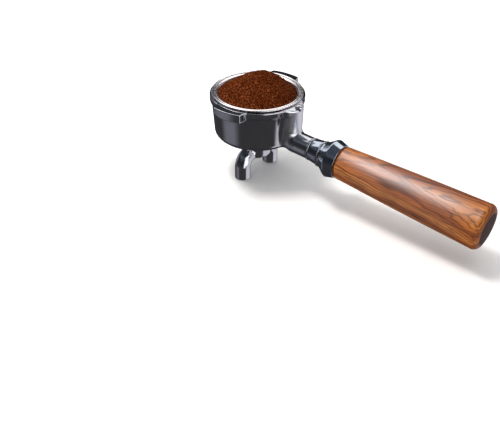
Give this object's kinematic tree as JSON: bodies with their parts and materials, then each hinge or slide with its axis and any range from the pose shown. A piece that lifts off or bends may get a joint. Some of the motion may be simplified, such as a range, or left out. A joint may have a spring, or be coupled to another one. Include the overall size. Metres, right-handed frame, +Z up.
{
  "type": "portafilter",
  "caption": "Espresso portafilter: chromed two-lug head with filter basket and ground coffee, twin spout below, turned wooden grip on a chromed ferrule.",
  "frame": {"origin": "on the head's vertical axis, level with the top of the basket rim, where the rim meets the group gasket", "axes": "+Z up out of the basket's mouth, +X from the head's axis towards the handle, lugs along +Y and -Y"},
  "size_m": [0.2301, 0.084, 0.0842],
  "materials": {
    "head_chrome": "mirror-bright plated casting",
    "basket_steel": "bright pressed stainless steel",
    "spring_steel": "drawn spring wire",
    "coffee": "matt, granular",
    "nipple_brass": "turned",
    "gasket": "plain",
    "nut_chrome": "plated",
    "spout_chrome": "mirror-bright plated casting",
    "stud_steel": "zinc plated",
    "ring_chrome": "polished bead",
    "ferrule_chrome": "polished, turned",
    "fibre": "plain",
    "insert_brass": "knurled",
    "wood": "satin varnish over figured grain"
  },
  "bodies": {
    "head": {"body_casting": "head_chrome", "basket_spring": "spring_steel", "outlet_nipple": "nipple_brass", "outlet_gasket": "gasket", "spout_lock_nut": "nut_chrome", "neck_stud": "stud_steel", "neck_ring": "ring_chrome", "handle_collar": "ferrule_chrome", "collar_ring": "ring_chrome", "handle_ferrule": "ferrule_chrome", "ferrule_washer": "fibre", "grip_insert": "insert_brass", "wood_grip": "wood"},
    "basket": {"filter_basket": "basket_steel"},
    "dose": {"ground_coffee": "coffee"},
    "spout": {"twin_spout": "spout_chrome"}
  },
  "joints": [
    {"name": "basket_lift", "type": "slide", "parent": "head", "child": "basket", "axis": [0, 0, 1], "range_m": [0, 0.045]},
    {"name": "dose_knock_out", "type": "slide", "parent": "basket", "child": "dose", "axis": [0, 0, 1], "range_m": [0, 0.035]},
    {"name": "spout_turn", "type": "hinge", "parent": "head", "child": "spout", "pos_m": [0, 0, -0.0475], "axis": [0, 0, 1], "range_deg": [-90, 90]}
  ]
}
